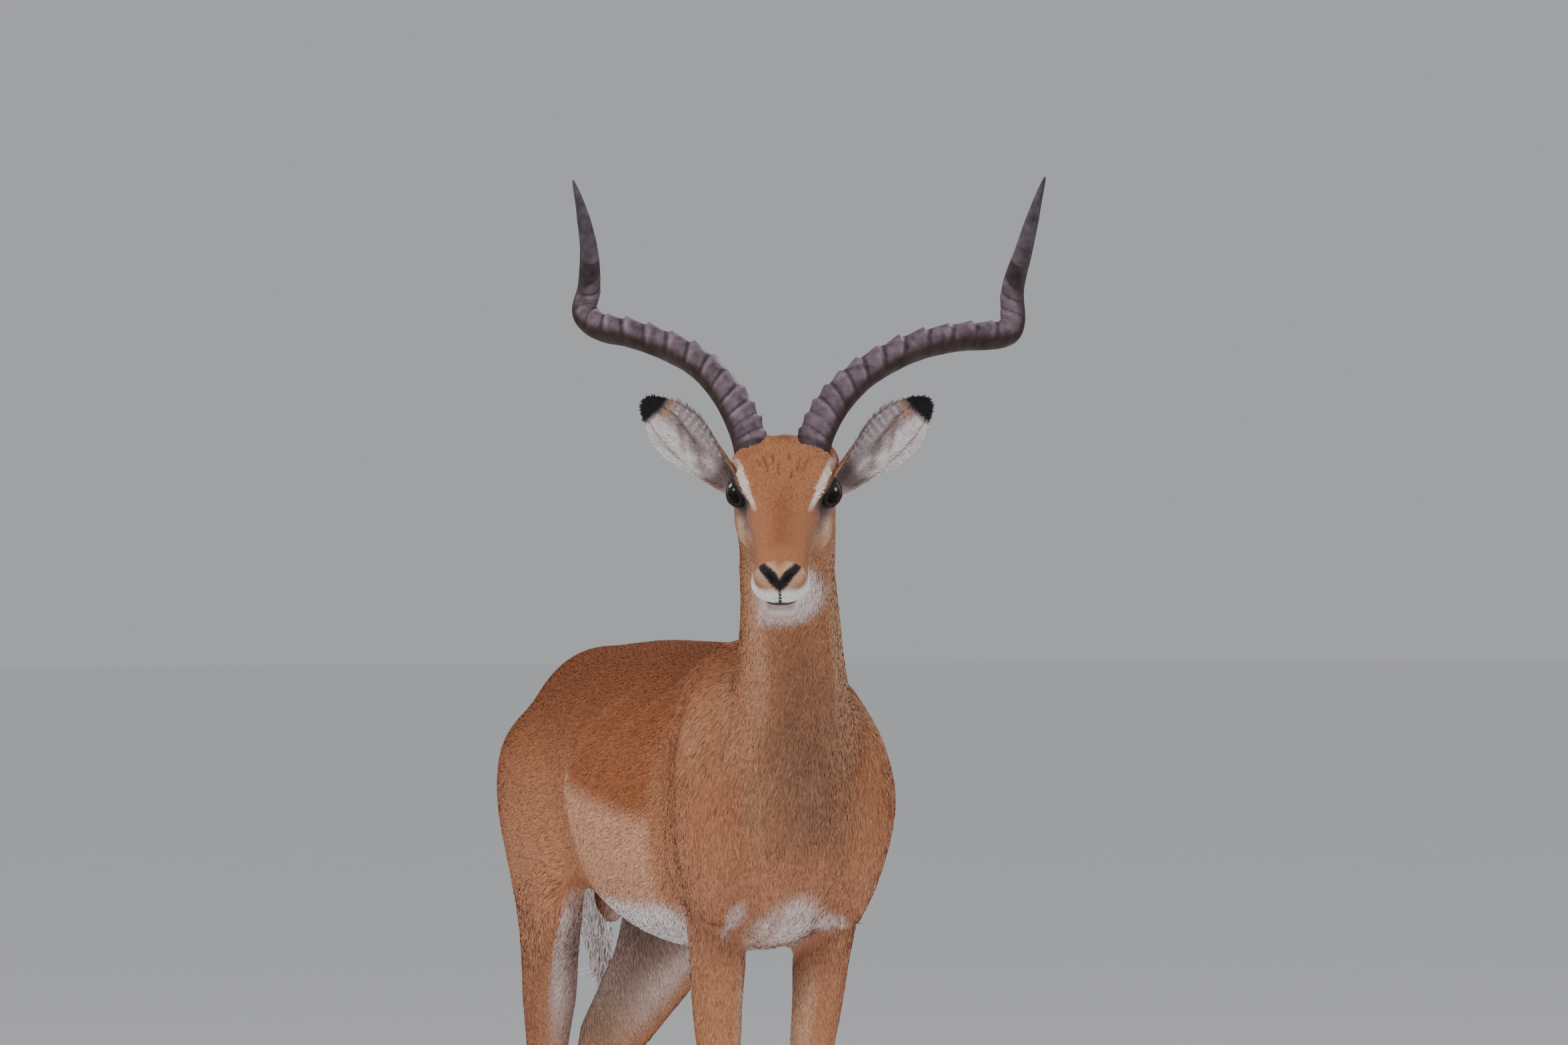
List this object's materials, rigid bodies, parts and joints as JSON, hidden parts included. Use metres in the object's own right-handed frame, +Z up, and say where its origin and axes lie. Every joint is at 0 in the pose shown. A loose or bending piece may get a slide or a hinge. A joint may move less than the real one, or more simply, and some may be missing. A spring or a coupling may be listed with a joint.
{
  "type": "impala ram",
  "caption": "Life-size still model of an impala ram standing with its head turned, with lyre-shaped ringed horns, upright ears, slender legs and cloven hooves.",
  "frame": {"origin": "middle of the whole animal's footprint, on the floor under its hooves", "axes": "+Z up; the body faces -Y with the tail toward +Y; +X is the animal's own left, and its head is turned a little to its right"},
  "size_m": [0.5036, 1.268, 1.3744],
  "materials": {
    "head_coat": "short matt fur, rufous brown with white round the eyes, lips and chin",
    "neck_coat": "matt fur, greyish brown with a white throat",
    "trunk_coat": "short sleek fur, rufous saddle, tan lower flank, white belly",
    "tail_coat": "longer white hair with a dark line above",
    "leg_coat": "short matt fur, light tan, paler inside",
    "ear_coat": "short fur, brown behind, pale inside, black at the tip",
    "eye": "wet gloss, very dark brown",
    "horn": "ringed dark horn, satin on the smooth tips",
    "hoof": "black horn, satin"
  },
  "bodies": {
    "root": {"head": "head_coat", "neck": "neck_coat", "trunk": "trunk_coat", "tail": "tail_coat", "ear_left": "ear_coat", "ear_right": "ear_coat", "eye_left": "eye", "eye_right": "eye", "horn_left": "horn", "horn_right": "horn", "foreleg_left_upper": "leg_coat", "foreleg_left_lower": "leg_coat", "foreleg_right_upper": "leg_coat", "foreleg_right_lower": "leg_coat", "hindleg_left_upper": "leg_coat", "hindleg_left_lower": "leg_coat", "hindleg_right_upper": "leg_coat", "hindleg_right_lower": "leg_coat", "claw_fore_left_inner": "hoof", "claw_fore_left_outer": "hoof", "claw_fore_right_inner": "hoof", "claw_fore_right_outer": "hoof", "claw_hind_left_inner": "hoof", "claw_hind_left_outer": "hoof", "claw_hind_right_inner": "hoof", "claw_hind_right_outer": "hoof"}
  },
  "joints": []
}
